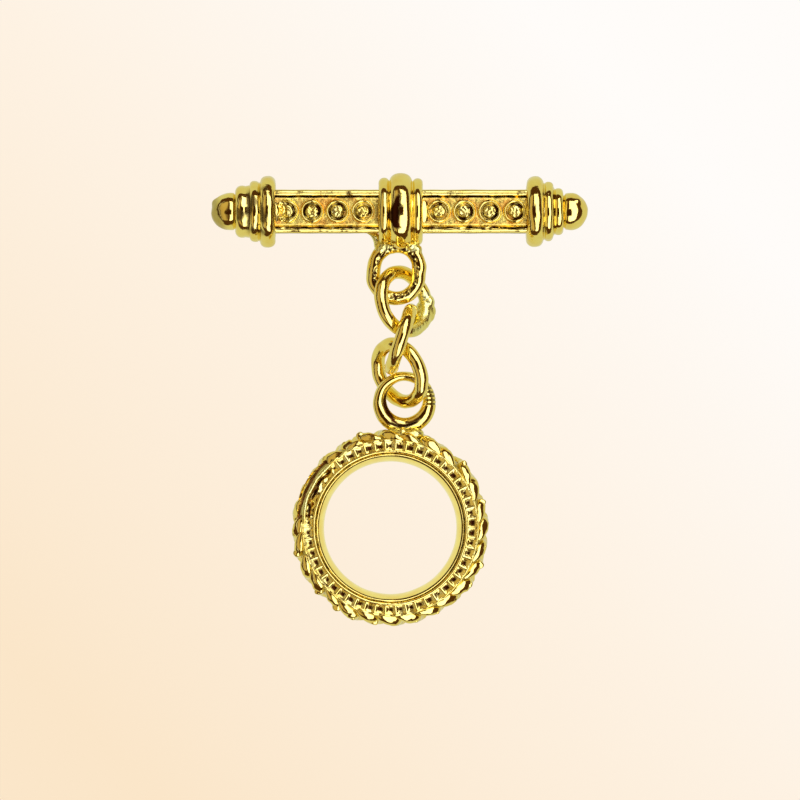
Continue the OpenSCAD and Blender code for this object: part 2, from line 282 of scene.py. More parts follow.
def tarnish(bm, share):
    """Marks where old polish, oxide and painted shade darken the skin, from 0 to 1"""
    dark = bm.verts.layers.float.get("tarnish") or bm.verts.layers.float.new("tarnish")
    for v in bm.verts:
        v[dark] = min(1.0, max(v[dark], share(v.co)))


def clean(bm):
    """Merges doubled points and turns the faces outwards"""
    bmesh.ops.remove_doubles(bm, verts=bm.verts[:], dist=1e-4)
    bmesh.ops.recalc_face_normals(bm, faces=bm.faces[:])


def melt(bm, voxel, passes):
    """Fuses overlapping shapes into one skin with soft joints, as solder does"""
    mesh = bpy.data.meshes.new("melt")
    bm.to_mesh(mesh)
    holder = bpy.data.objects.new("melt", mesh)
    bpy.context.scene.collection.objects.link(holder)
    remesh = holder.modifiers.new("skin", "REMESH")
    remesh.mode = "VOXEL"
    remesh.voxel_size = voxel
    bpy.context.view_layer.update()
    fused = bpy.data.meshes.new_from_object(holder.evaluated_get(bpy.context.evaluated_depsgraph_get()))
    bm.clear()
    bm.from_mesh(fused)
    bpy.data.objects.remove(holder)
    bpy.data.meshes.remove(mesh)
    bpy.data.meshes.remove(fused)
    for _ in range(passes):
        bmesh.ops.smooth_vert(bm, verts=bm.verts[:], factor=0.5,
                              use_axis_x=True, use_axis_y=True, use_axis_z=True)


def join(bm, other):
    """Moves another bmesh into this one"""
    mesh = bpy.data.meshes.new("join")
    other.to_mesh(mesh)
    other.free()
    bm.from_mesh(mesh)
    bpy.data.meshes.remove(mesh)


def place_in(bm, matrix):
    """Moves, turns or scales a whole bmesh"""
    bmesh.ops.transform(bm, matrix=matrix, verts=bm.verts[:])


def piece(bm, name, finishes, node, sharp=50, which=None):
    """Turns a bmesh in millimetres into a finished piece

    Edges of more than sharp degrees stay crisp, and which gives the number of each face's finish.
    """
    # Bridged skins can come out inside out
    bmesh.ops.recalc_face_normals(bm, faces=bm.faces[:])
    if which:
        for face in bm.faces:
            face.material_index = int(which(face.calc_center_median()))
    # Nothing reaches below the surface that the clasp lies on
    for v in bm.verts:
        v.co.z = max(v.co.z, 0.0)
    place_in(bm, Matrix.Scale(MM, 4))
    bm.normal_update()
    for face in bm.faces:
        face.smooth = True
    mesh = bpy.data.meshes.new(name)
    bm.to_mesh(mesh)
    bm.free()
    if sharp:
        mesh.set_sharp_from_angle(angle=math.radians(sharp))
    for finish_name in finishes.split():
        mesh.materials.append(finish(finish_name))
    made = bpy.data.objects.new(name, mesh)
    bpy.context.scene.collection.objects.link(made)
    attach(made, "root")
    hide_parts(node)


# Materials

def add_node(tree, kind, inputs=None, **settings):
    """Adds a node with its settings; inputs gives a value or a linked socket for each socket

    A socket goes by its name or its number. Map Range: 1 and 2 are the range from, 3 and 4 the range to.
    Mix: 0 is the factor, 6 and 7 are the two colours.
    """
    made = tree.nodes.new("ShaderNode" + kind)
    for key, value in settings.items():
        setattr(made, key, value)
    for key, value in (inputs or {}).items():
        if isinstance(value, bpy.types.NodeSocket):
            tree.links.new(value, made.inputs[key])
        else:
            made.inputs[key].default_value = value
    return made


def new_material(name):
    """Empty material and its node tree"""
    made = bpy.data.materials.new(name)
    made.use_nodes = True
    made.node_tree.nodes.clear()
    return made, made.node_tree


# Material, roughness, then width in mm and strength of the casting's slow waves and of its fine grit.
# The real grit is finer than a pixel of the picture, so it is drawn just coarse enough to show.
FINISHES = {
    # Barrel-tumbled plate, almost a mirror: the tent's windows show as crisp white patches on soft waves
    "polished": ("tumbled_gold_plate", 0.08, 0.9, 0.12, 0.12, 0.05),
    # Plate as it came from the mould, on the panels: silky, in yellow and orange, with no clear reflection
    "satin": ("satin_cast_gold_plate", 0.38, 0.6, 0.55, 0.14, 0.08),
    # Plate that wear has dulled a little on bezels and pits: bright facets with soft edges
    "worn": ("worn_gold_plate", 0.17, 0.6, 0.3, 0.12, 0.08),
    # Thin plate over lumps of solder: paler and rougher than the castings it joins
    "solder": ("plated_solder", 0.26, 0.5, 0.5, 0.12, 0.1),
    # Solder that the torch burnt brown, with a dull sheen
    "scorched": ("scorched_solder", 0.24, 0.5, 0.5, 0.12, 0.1),
}
# Width of the patches in which the plate's colour varies
PATCH = 1.3


def finish(name):
    """Gold plate over cast brass: the plate follows the casting's slow waves and its fine grit"""
    title, rough, wave_mm, wave, grit_mm, grit = FINISHES[name]
    if title in bpy.data.materials:
        return bpy.data.materials[title]
    gold = bpy.context.scene.gold_settings
    light, deep, oxide_and_shade = (list(getattr(gold, key)) for key in (name + "_light", name + "_deep", "oxide_and_shade"))
    made, tree = new_material(title)
    coords = add_node(tree, "TexCoord").outputs["Object"]
    # Width of the patches, the grit and the waves, with how much detail each has and how rough it is
    grains = ((PATCH, 3.0, 0.55), (grit_mm, 4.0, 0.6), (wave_mm, 2.0, 0.5))
    patches, fine, slow = (add_node(tree, "TexNoise", {
        "Vector": coords, "Scale": 1 / (wide * MM), "Detail": detail, "Roughness": crumb}).outputs["Fac"]
        for wide, detail, crumb in grains)
    share = add_node(tree, "MapRange", {0: patches, 1: 0.38, 2: 0.62}).outputs[0]
    tint = add_node(tree, "Mix", {0: share, 6: light, 7: deep}, data_type="RGBA").outputs[2]
    dark = add_node(tree, "Attribute", attribute_name="tarnish").outputs["Fac"]
    # The darkening layer holds oxide and painted shade alike; both mix towards the dark colour
    tone = add_node(tree, "Mix", {0: dark, 6: tint, 7: oxide_and_shade}, data_type="RGBA").outputs[2]
    dull = add_node(tree, "MapRange", {0: fine, 1: 0.3, 2: 0.7, 3: rough * 0.75, 4: rough * 1.3}).outputs[0]
    # Oxide and painted shade are duller than the plate
    matt = add_node(tree, "Math", {0: dark, 1: 0.25, 2: dull}, operation="MULTIPLY_ADD").outputs[0]
    waves = add_node(tree, "Bump", {
        "Height": slow, "Strength": wave, "Distance": wave_mm * MM * 0.25}).outputs[0]
    skin = add_node(tree, "Bump", {
        "Height": fine, "Strength": grit, "Distance": grit_mm * MM * 0.4, "Normal": waves}).outputs[0]
    metal = add_node(tree, "BsdfPrincipled", {
        "Base Color": tone, "Metallic": 1.0, "Roughness": matt, "Normal": skin}).outputs[0]
    add_node(tree, "OutputMaterial", {"Surface": metal})
    return made


# The bar

def bar_outline(side, rail, recess):
    """Cross-section of the bar as (across, up) points; its lower front rail has the seam of the mould"""
    half, r = side / 2, rail / 2 - 0.02
    mid, face = half - r, half - recess
    # From the panel's edge over the corner rail to the next panel: a groove, the rail, a groove
    bank = [(1.2, face), (1.26, face - 0.03), (1.31, face - 0.14), (1.35, face - 0.02)]
    seamed = [(1.1, face), (1.16, face + 0.1), (1.22, face + 0.19), (1.3, face + 0.22), (1.38, face + 0.17),
              (1.44, face + 0.02), (1.5, face - 0.1), (1.56, face + 0.04)]
    flat = [(face, 1.2 * k / 5) for k in (4, 3, 2, 1, 0, -1, -2, -3, -4)]
    points = []
    for quarter in range(4):
        turn = Matrix.Rotation(math.radians(-90 * quarter), 2)
        far = [(y, x) for x, y in reversed(seamed if quarter == 2 else bank)]
        near = arc(mid, mid, r, 150, -60, 22)
        if quarter == 2:
            near = near[:18]
        points += [turn @ Vector(p) for p in bank + near + far + flat]
    return points


class OBJECT_OT_clasp_bar(bpy.types.Operator):
    """Build the square bar with its rails and panels"""
    bl_idname = "object.clasp_bar"
    bl_label = "Bar"

    def execute(self, context):
        s = context.scene.toggle_bar_settings
        reach = s.length / MM / 2 + 0.1
        bm = bmesh.new()
        outline = bar_outline(s.side / MM, s.rail / MM, s.recess / MM)
        verts = [bm.verts.new((-reach, p[0], p[1])) for p in outline]
        loop = [bm.edges.new(pair) for pair in zip(verts, verts[1:] + verts[:1])]
        bmesh.ops.contextual_create(bm, geom=loop)
        steps = 220
        for _ in range(steps):
            made = bmesh.ops.extrude_edge_only(bm, edges=loop)["geom"]
            ahead = [g for g in made if isinstance(g, bmesh.types.BMVert)]
            bmesh.ops.translate(bm, vec=(2 * reach / steps, 0, 0), verts=ahead)
            loop = [g for g in made if isinstance(g, bmesh.types.BMEdge)]
        bmesh.ops.contextual_create(bm, geom=loop)
        clean(bm)
        ragged_grooves(bm)
        hand_work(bm, 0.006, 0.5, 1)
        hand_work(bm, 0.03, 1.6, 2)
        # Painted shade along the two grooves of the front
        tarnish(bm, groove_painted_shade)
        place_in(bm, Matrix.Translation(BAR_MID))
        panel_half = 1.1
        piece(bm, "bar_core", "polished satin", "toggle_bar", 60,
              lambda c: min(abs(c.y - BAR_MID.y), abs(c.z - BAR_MID.z)) < panel_half)
        return {"FINISHED"}


def groove_wander(x, at):
    """How far a groove strays to the side"""
    return 0.035 * noise.noise(Vector((x * 1.3, at, 0)))


def ragged_grooves(bm):
    """Deepens and narrows the grooves beside the front rails unevenly, as the casting has them"""
    for v in bm.verts:
        if v.co.z > FRONT_FROM:
            for at, depth, reach in GROOVES:
                near = max(0.0, 1 - abs(v.co.y - at - groove_wander(v.co.x, at)) / reach)
                uneven = max(0.0, 0.7 + 1.1 * noise.noise(Vector((v.co.x * 2.1, 0, at))))
                v.co.z -= depth * near * uneven


def groove_painted_shade(co):
    """Painted shade as dark, broken and wavering lines in the two grooves of the bar's front"""
    if co.z <= FRONT_FROM:
        return 0
    line = max(0, *(1.3 - abs(co.y - at - 2.2 * groove_wander(co.x, at)) / 0.1 for at in GROOVE_SHADE))
    return line * (1.3 + 2.2 * speckle(Vector((co.x, 0, 0)), 0.45, 4 + (co.y > 0)))


class OBJECT_OT_clasp_bezels(bpy.types.Operator):
    """Build the two rows of bezels with their grains"""
    bl_idname = "object.clasp_bezels"
    bl_label = "Bezels"

    def execute(self, context):
        s = context.scene.toggle_bar_settings
        face_z = s.side / MM / 2 - s.recess / MM
        upright = Matrix.Rotation(math.radians(-90), 4, "Y")
        bm = bmesh.new()
        for back in (0, 1):
            for side in (-1, 1):
                for i in range(s.bezels):
                    one = bezel(20 + i + 5 * side + 11 * back)
                    if side < 0 and i == s.bezels - 1 and not back:
                        wear_bezel(one)
                    there = Matrix.Translation((side * (BEZEL_FIRST + BEZEL_STEP * i), 0, face_z))
                    place_in(one, Matrix.Rotation(math.pi * back, 4, "X") @ there @ upright)
                    join(bm, one)
        place_in(bm, Matrix.Translation(BAR_MID))
        piece(bm, "bezel_rows", "worn", "toggle_bar")
        return {"FINISHED"}


def bezel(seed):
    """One bezel round the X axis with its domed grain, both torn a little"""
    bm = bmesh.new()
    grain = [(0.3 - 0.05 * (k / 10) ** 4, 0.05 * k) for k in range(11)]
    turned(bm, grain + BEZEL_RIM, 64)
    clean(bm)
    hand_work(bm, 0.08, 0.2, seed, lambda co: 1 if co.yz.length < 0.5 else 0.1)
    hand_work(bm, 0.07, 0.6, seed + 50)
    tarnish(bm, lambda co: bezel_shade_and_pinholes(co, seed))
    return bm


def bezel_shade_and_pinholes(co, seed):
    """Painted shade in the moat round the grain, darkest at its lower right, and a tan crown with pinholes
    """
    out = co.yz.length
    shaded_side = -(0.85 * co.z + 0.5 * co.y) / max(out, 0.1)
    # The ring is painted shade in the moat, darker on the lower right side
    ring = (ramp(out, 0.56, 0.64) - ramp(out, 0.76, 0.82)) * (1.0 + 0.35 * shaded_side)
    crown = ramp(0.6 - out, 0, 0.1)
    pinholes = 4 * crown * (speckle(co, 0.16, seed + 9) - 0.36)
    return max(ring * (1.0 + 1.6 * speckle(co, 0.7, seed)) + pinholes, 0.14 * crown)


def worn(co):
    """1 on the side of the outermost left bezel that is rubbed down, 0 on its sound side"""
    return ramp(co.z, -0.15, 0.35)


def wear_bezel(bm):
    """Rubs down one side of the bezel nearest the left cap"""
    dark = bm.verts.layers.float["tarnish"]
    for v in bm.verts:
        v.co.x *= 1 - 0.6 * worn(v.co) if v.co.x > 0 else 1
        v[dark] *= 1 - 0.85 * worn(v.co)
    hand_work(bm, 0.16, 0.2, 77, worn)


class OBJECT_OT_clasp_caps(bpy.types.Operator):
    """Build the two end caps with their rings and knobs"""
    bl_idname = "object.clasp_caps"
    bl_label = "End Caps"

    def execute(self, context):
        s = context.scene.toggle_bar_settings
        reach, knob_r = s.length / MM / 2, s.knob / MM / 2
        # For each ring its width, its diameter and the radius of the groove before it, then the knob's neck
        caps = (("end_cap_left", -1, ((1.36, 6.48, 0), (0.95, 5.49, 2.57), (1.27, 4.7, 2.3)), 1.5),
                ("end_cap_right", 1, ((1.55, 6.39, 0), (0.87, 5.36, 2.5), (0.92, 4.3, 2.02)), 1.42))
        for name, side, rings, neck in caps:
            bm = bmesh.new()
            outline = [(-0.42, 0), (-0.42, 1.6), (-0.39, 1.78), (-0.27, 1.87), (-0.06, 1.93)]
            x = 0.0
            for i, (width, across, before) in enumerate(rings):
                after = rings[i + 1][2] if i < 2 else neck
                outline += [p for p in bead(x, width, across / 2, 2.3, 18)
                            if p[1] >= (before if p[0] < x + width / 2 else after)]
                x += width
            knob = arc(x + 2.2 - knob_r, 0, knob_r, 150, 0, 34)
            outline += [(x + 0.02, neck)] + [p for p in knob if p[0] > x + 0.08]
            turned(bm, outline, 128)
            clean(bm)
            creases = [sum(w for w, _, _ in rings[:n]) for n in (1, 2, 3)]
            tarnish(bm, lambda co: cap_shade_and_reflections(co, side, creases))
            swell(bm, Vector((x + 2.0, -0.9, 0.1) if side < 0 else (x + 1.4, 1.0, 1.0)), 0.6, 0.14)
            hand_work(bm, 0.08, 1.5, 31 + side)
            hand_work(bm, 0.03 if side < 0 else 0.02, 0.5, 35 + side)
            if side < 0:
                place_in(bm, Matrix.Rotation(math.pi, 4, "Z"))
            place_in(bm, Matrix.Translation(BAR_MID + Vector((side * reach, 0, 0))))
            piece(bm, name, "polished", "toggle_bar")
        return {"FINISHED"}


def cap_shade_and_reflections(co, side, creases):
    """Painted shade in the creases; the left cap also has painted brown reflections as streaks on top of
    its rings, and a brown knob
    """
    crease_shade_strength = 1.0 if side < 0 else 0.55
    # Painted shade in the creases between the rings
    crease = crease_shade_strength * ramp(abs(co.z), 1.0, 2.2) * max(1 - abs(co.x - c) / 0.09 for c in creases)
    if side > 0:
        return crease
    end = creases[-1]
    # Painted brown reflections as streaks on the upward faces of the rings
    streak = 0.8 * ramp(speckle(co, 0.9, 38) + 0.9 * ((co.x - 0.2) / 1.15 % 1 - 0.5), 0.05, 0.4)
    streak *= ramp(co.z / (co.yz.length + 0.1), 0.62, 0.8) * ramp(end - co.x, 0.0, 0.3)
    return max(crease, streak, 0.45 * ramp(co.x + 0.25 * co.y, end + 0.9, end + 1.7))


class OBJECT_OT_clasp_collar(bpy.types.Operator):
    """Build the collar of three ribs"""
    bl_idname = "object.clasp_collar"
    bl_label = "Collar"

    def execute(self, context):
        bm = bmesh.new()
        top = context.scene.toggle_bar_settings.collar / MM / 2
        valley = 2.74
        left = [p for p in bead(-2.0, 0.96, 3.06, 2.1, 22) if p[0] < -1.5 or p[1] > valley]
        crown = [p for p in bead(-1.06, 2.12, top, 2.5, 36) if p[1] > valley]
        right = [p for p in bead(1.04, 0.93, 3.03, 2.1, 22) if p[0] > 1.5 or p[1] > valley]
        skirt = [(1.98, 2.0), (2.2, 1.95), (2.4, 1.88), (2.5, 1.76), (2.52, 1.5), (2.52, 0)]
        turned(bm, [(-2.0, 0), (-2.0, 1.6)] + left + crown + right + skirt, 144)
        clean(bm)
        tarnish(bm, collar_painted_reflection)
        hand_work(bm, 0.06, 1.2, 41)
        place_in(bm, Matrix.Translation(BAR_MID))
        piece(bm, "collar", "polished", "toggle_bar")
        return {"FINISHED"}


def collar_painted_reflection(co):
    """Painted dark reflection on the left of the middle rib's top"""
    dark_reflection = 1 - math.hypot((co.x + 0.5) / 0.6, (co.y - 0.1) / 1.6) + 0.9 * speckle(co, 0.7, 42)
    return 1.1 * ramp(dark_reflection, 0.0, 0.2) * ramp(co.z, 2.0, 2.4)


class OBJECT_OT_clasp_bar_loop(bpy.types.Operator):
    """Build the oval loop under the collar with its solder"""
    bl_idname = "object.clasp_bar_loop"
    bl_label = "Bar Loop"

    def execute(self, context):
        bm = bmesh.new()
        # The hole is longer than it is wide by extra
        hole, extra, wire = 2.8, 0.66, context.scene.toggle_bar_settings.loop_wire / MM
        round_wire(bm, (hole + wire) / 2, wire)
        for v in bm.verts:
            v.co.y += math.copysign(extra / 2, v.co.y) * min(1, abs(v.co.y) / 0.5)
        lean = Matrix.Rotation(math.radians(-BAR_LOOP_LEAN), 4, "Z")
        place_in(bm, Matrix.Translation(BAR_LOOP_MID) @ lean)
        for x, y, z, across in BAR_LOOP_SOLDER:
            blob(bm, (x, y, z), (across, across, across * 1.1), 3)
        melt(bm, 0.055, 11)
        hand_work(bm, 0.05, 0.8, 51)
        hand_work(bm, 0.1, 0.26, 52, loop_wear)
        tarnish(bm, lambda co: loop_wear(co) * (0.6 + 2.6 * speckle(co, 0.3, 53)))
        solder_from = 13.35
        piece(bm, "bar_loop", "polished solder", "toggle_bar", 0, lambda c: c.y > solder_from)
        return {"FINISHED"}


def loop_wear(co):
    """Pitted line along the inner shoulder of the bar loop, and its rough solder"""
    near = Matrix.Rotation(math.radians(BAR_LOOP_LEAN), 3, "Z") @ (co - BAR_LOOP_MID)
    half_wide, half_long = 2.04, 2.37
    out = math.hypot(near.x / half_wide, near.y / half_long)
    line = max(0.0, 1 - abs(out - 0.92) / 0.13) * ramp(near.z, 0.1, 0.35)
    solder = 0.25 * ramp(near.y, 1.7, 2.0) * ramp(near.z, 0.0, 0.3) * ramp(near.x, -2.0, -1.6)
    return max(line, solder)


# The chain

class OBJECT_OT_clasp_links(bpy.types.Operator):
    """Build the three jump rings of the chain"""
    bl_idname = "object.clasp_links"
    bl_label = "Jump Rings"

    def execute(self, context):
        s = context.scene.chain_settings
        wire = s.wire / MM
        path_r = s.across / MM / 2 - wire / 2
        for i, (name, (mid, lean, turn)) in enumerate(CHAIN.items()):
            bm = bmesh.new()
            round_wire(bm, path_r, wire)
            if name == "link_upper":
                add_link_solder(bm)
            hand_work(bm, 0.05, 1.0, 61 + i)
            place_in(bm, Matrix.Translation(mid) @ Matrix.Rotation(math.radians(lean), 4, "Z")
                     @ Matrix.Rotation(math.radians(turn), 4, "X"))
            # The solder is the part of the upper ring that lies right of and below these places
            right_of, below = 1.15, 9.7
            piece(bm, name + "_wire", "polished solder", name, 0,
                  lambda c: name == "link_upper" and c.x > right_of and c.y < below)
        return {"FINISHED"}


def add_link_solder(bm):
    """Closes the upper jump ring with its rough lump of solder"""
    for at, out, up, across in LINK_SOLDER:
        at = math.radians(at)
        blob(bm, (out * math.cos(at), out * math.sin(at), up), (across, across, across), 3)
    melt(bm, 0.06, 4)
    hand_work(bm, 0.08, 0.8, 60, solder_side)
    hand_work(bm, 0.05, 0.3, 64, lambda co: solder_side(co) * ramp(speckle(co, 0.9, 65), 0.1, 0.4))


def solder_side(co):
    """1 on the soldered side of the upper jump ring, 0 on its plain side"""
    turn, _ = round_the_ring(co)
    return ramp(turn, 195, 210) - ramp(turn, 265, 280)


def round_the_ring(co):
    """Angle in degrees and distance from the middle of a ring"""
    return math.degrees(math.atan2(co.y, co.x)) % 360, co.xy.length


# The toggle ring

class OBJECT_OT_clasp_ring(bpy.types.Operator):
    """Build the toggle ring's body with its rims and pits"""
    bl_idname = "object.clasp_ring"
    bl_label = "Toggle Ring"

    def execute(self, context):
        s = context.scene.toggle_ring_settings
        bm = bmesh.new()
        half = s.height / MM / 2
        face = 2 * half - 0.22
        # Outline as (up, out), from the inner wall over the face to the edge
        inner = [(0.0, 6.52), (0.03, 6.46), (0.12, 6.38)]
        inner += [(half + 0.18 * k, 5.96 + 0.46 * abs(k / 10) ** 1.8) for k in range(-9, 11)]
        thin = [(3.8, 6.45), (3.8, 6.49), (3.97, 6.52), (4.03, 6.535), (4.045, 6.57), (4.03, 6.605),
                (3.95, 6.62)]
        groove = [(3.84, 6.66), (3.82, 6.70), (3.9, 6.75)]
        main = [(4.08, 6.775), (4.115, 6.80), (4.14, 6.885), (4.115, 6.97), (4.08, 6.995)]
        band = [(face, 7.03 + 0.0625 * k) for k in range(13)]
        outer = [(4.06, 7.80), (4.085, 7.83), (4.1, 7.885), (4.085, 7.94), (4.05, 7.965)]
        edge = [(half + 1.6 * math.cos(t), RIM_OUT + 0.42 * math.sin(t) ** 0.8)
                for t in [math.radians(a) for a in range(8, 173, 8)]]
        foot = [(0.1, RIM_OUT), (0.0, 7.9)]
        turned(bm, inner + thin + groove + main + band + outer + edge + foot, 10 * s.pits, closed=True)
        clean(bm)
        place_in(bm, Matrix.Rotation(math.radians(-90), 4, "Y"))
        for v in bm.verts:
            if v.co.z > 3.8:
                v.co.z += face_relief(v.co, s.pits, s.pit_depth / MM)
        tarnish(bm, lambda co: face_painted_shade(co, s.pits))
        hand_work(bm, 0.02, 1.5, 71)
        place_in(bm, Matrix.Translation((RING_MID.x, RING_MID.y, 0)))
        worn_from = 6.63
        piece(bm, "ring_body", "polished worn", "toggle_ring", 40,
              lambda c: c.z > 3.7 and (c.xy - RING_MID.xy).length > worn_from)
        return {"FINISHED"}


def pit_share(co, pits):
    """0 on the ribs of the face to 1 at the bottom of a pit, which lies near the pit's inner side"""
    turn, out = round_the_ring(co)
    across = abs((turn * pits / 360) % 1 - 0.5) * 2
    along = (out - PIT_MID) / PIT_HALF
    share = min((0.74 - across) / 0.62, (along + 0.85) / 0.65, (0.92 - along) / 1.1, 1.0)
    return max(0.0, share)


def filled(turn):
    """1 in the stretch that solder has filled, 0 elsewhere"""
    return ramp(turn, FILL_FROM, FILL_FROM + 6) - ramp(turn, FILL_TO - 6, FILL_TO)


def crack(turn):
    """Distance from the ring's middle at which the filled stretch ends in a wavering crack"""
    return 7.56 + 0.3 * speckle(Vector((turn / 10, 0, 0)), 1.0, 77)


def face_relief(co, pits, depth):
    """Height of the pits, of the filled stretch and of the knots along the outer rim"""
    turn, out = round_the_ring(co)
    if BAND_IN < out < BAND_OUT:
        rib = 1 - (2 * abs((turn * pits / 360) % 1 - 0.5) - 1) ** 2 / 0.09
        own = 0.06 * max(0, rib) - depth * pit_share(co, pits)
        lumps = 0.35 * speckle(co, 0.7, 72) * ramp(out, BAND_IN, 7.35)
        sunk = 0.4 * ramp(out, crack(turn) - 0.2, crack(turn)) + lumps
        return own * (1 - 0.8 * filled(turn)) - filled(turn) * sunk
    if BAND_OUT <= out < RIM_OUT:
        return 0.05 * math.cos(math.radians(turn * pits)) * (1 - filled(turn))
    return 0.0


def face_painted_shade(co, pits):
    """Painted shade: brown lines along the rims, dark inner sides of the pits, the crack, and between the
    strands
    """
    turn, out = round_the_ring(co)
    if co.z < 3.4 or out > BAND_OUT:
        # Painted shade on the ring's edge, between the strands
        return 0.5 * ramp(out, 7.95, 8.02)
    # Painted shade: the line inside the thin rim is thin, but wide at the right; the groove is dark left
    # and right
    right = ramp(math.cos(math.radians(turn - 15)), 0.5, 0.9)
    line = max(0, 1 - abs(out - THIN_RIM_FOOT) / 0.05) * (0.8 + speckle(co, 0.8, 73))
    wide = 0.3 * right * ramp(out, 6.5, 6.56) * (1 - ramp(out, 6.72, 6.78))
    sides = 0.7 * ramp(abs(math.cos(math.radians(turn))), 0.3, 0.8)
    groove = sides * max(0, 1.2 - abs(out - RIM_GROOVE) / 0.07) * (0.7 + 1.5 * speckle(co, 0.5, 74))
    # Painted shade along the outer rim, darkest at the lower left
    low_left = ramp(-math.cos(math.radians(turn - 35)), 0.75, 0.95)
    rim_shade = (0.85 * low_left * max(0, 1.3 - abs(out - SHADE_LINE) / 0.09)
                * (0.8 + 1.2 * speckle(co, 0.5, 86)))
    # Painted shade on the inner sides of the pits and in the crack
    hollow = ramp(pit_share(co, pits) + 0.4 * speckle(co, 0.6, 76), 0.42, 0.62) * (1 - filled(turn))
    cavity = (filled(turn) * max(0, 1.3 - abs(out - crack(turn)) / 0.14)
              * (1.2 + 1.8 * speckle(co, 0.45, 75)))
    return max(line, wide, groove, rim_shade, hollow, cavity)


class OBJECT_OT_clasp_rope(bpy.types.Operator):
    """Build the slanting strands round the ring's edge"""
    bl_idname = "object.clasp_rope"
    bl_label = "Rope Edge"

    def execute(self, context):
        s = context.scene.toggle_ring_settings
        bm = bmesh.new()
        for i in range(s.strands):
            # Each strand has its own angle, thickness, granule and distance from the middle
            own = Vector((i, 0, 0))
            at = 360 * i / s.strands + 3.2 + 4 * speckle(own, 0.7, 80)
            size = s.strand / MM / 2 * (1 + 0.4 * speckle(own, 0.6, 81))
            granule = 0.62 + 0.7 * speckle(own, 0.45, 79)
            outward = Vector((math.cos(math.radians(at)), math.sin(math.radians(at)), 0))
            one = bmesh.new()
            strand(one, at, size, 1 - 0.4 * filled(at % 360), granule)
            place_in(one, Matrix.Translation(0.3 * speckle(own, 0.6, 78) * outward))
            flatten_crown(one)
            hand_work(one, 0.08, 0.45, 82 + i)
            join(bm, one)
        filled_roll(bm)
        place_in(bm, Matrix.Translation((RING_MID.x, RING_MID.y, 0)))
        piece(bm, "ring_rope", "polished solder scorched", "toggle_ring", 50, rope_finish)
        return {"FINISHED"}


def strand(bm, at, size, lifted, granule):
    """One leaf-shaped strand from the back round the edge to its root at the outer rim, with a granule"""
    def centre(lift):
        """Middle of the strand, from a lift of -pi/2 at the back to pi/2 at its root"""
        along = math.copysign(1 - math.cos(lift), lift)
        # The ends lie this far along the edge before and behind the middle, which slants the strand
        slant, edge_r = 1.64, 8.4
        turn = math.radians(at) - along * slant / edge_r
        out = 8.42 - 0.45 * abs(along) ** 1.5
        up = 1.75 * lifted * abs(math.sin(lift)) ** 0.6
        return Vector((out * math.cos(turn), out * math.sin(turn), 1.99 + math.copysign(up, lift)))

    stations = []
    for k in range(-14, 15):
        lift = math.pi / 2 * k / 14
        place = centre(lift)
        ahead = (centre(lift + 0.01) - centre(lift - 0.01)).normalized()
        level = Vector((place.x, place.y, 0)).normalized()
        outward = level * math.cos(lift) + Vector((0, 0, math.sin(lift)))
        sideways = outward.cross(ahead).normalized()
        stance = Matrix((sideways, ahead.cross(sideways), ahead)).transposed().to_4x4()
        # The strand is wider than deep, most of all on the ring's edge
        wide = Matrix.Diagonal((1.0 + 0.4 * math.cos(lift) ** 2, 1, 1, 1))
        stations.append((Matrix.Translation(place) @ stance @ wide, size * (1 - abs(k / 14.6) ** 4) ** 0.5))
    loft(bm, stations, 16)
    # A sunk strand of the filled stretch has no granule
    if lifted > 0.8:
        turn = math.radians(at + 4 * (granule - 0.6))
        blob(bm, (8.6 * math.cos(turn), 8.6 * math.sin(turn), 3.05), (granule, granule, granule * 0.9), 3)


def flatten_crown(bm):
    """Broadens the top of a strand and leans it outwards, so that it shows a wide bright leaf"""
    for v in bm.verts:
        up = v.co.z - 3.0
        if up > 0:
            v.co.z = 3.18 + up - 0.24 * up * up - 0.32 * (v.co.xy.length - 8.15) * ramp(up, 0, 0.7)


def filled_roll(bm):
    """Solder that lies over the rope, and the smooth wire of the outer rim along it"""
    steps = 60
    # Distance from the middle, how far it swings out, height, and radius at its ends and in its middle
    for out, swing, up, least, most in ((8.08, 0.08, 3.3, 0.2, 0.52), (7.78, 0.2, 4.05, 0.12, 0.21)):
        one = bmesh.new()
        stations = []
        for i in range(steps + 1):
            share = i / steps
            turn = math.radians(FILL_FROM - 1 + (FILL_TO - FILL_FROM + 2) * share)
            bulge = math.sin(math.pi * share)
            place = (out + swing * bulge + 0.05 * speckle(Vector((share * 6, 0, 0)), 1, 85), 0, up)
            stations.append((Matrix.Rotation(turn, 4, "Z") @ Matrix.Translation(place)
                             @ Matrix.Rotation(math.pi / 2, 4, "X"), least + (most - least) * bulge ** 0.6))
        loft(one, stations, 24)
        if most > 0.3:
            # The solder ran down from the rim, so its top is one slope
            for v in one.verts:
                rise = v.co.z - up
                if rise > 0:
                    off = v.co.xy.length - 8.14
                    v.co.z = up + 0.35 * rise + 0.16 - 0.82 * off * ramp(rise, 0, 0.25)
        hand_work(one, 0.05, 0.7, 84)
        join(bm, one)


def rope_finish(centre):
    """0 on the polished strands, 1 on the pale wire of the outer rim, 2 on the scorched roll of solder"""
    turn, out = round_the_ring(centre - RING_MID)
    if out > 8.42 or centre.z < 3.2 or not FILL_FROM + 1 < turn < FILL_TO - 1:
        return 0
    return 1 if out < 8.12 and centre.z > 3.98 else 2


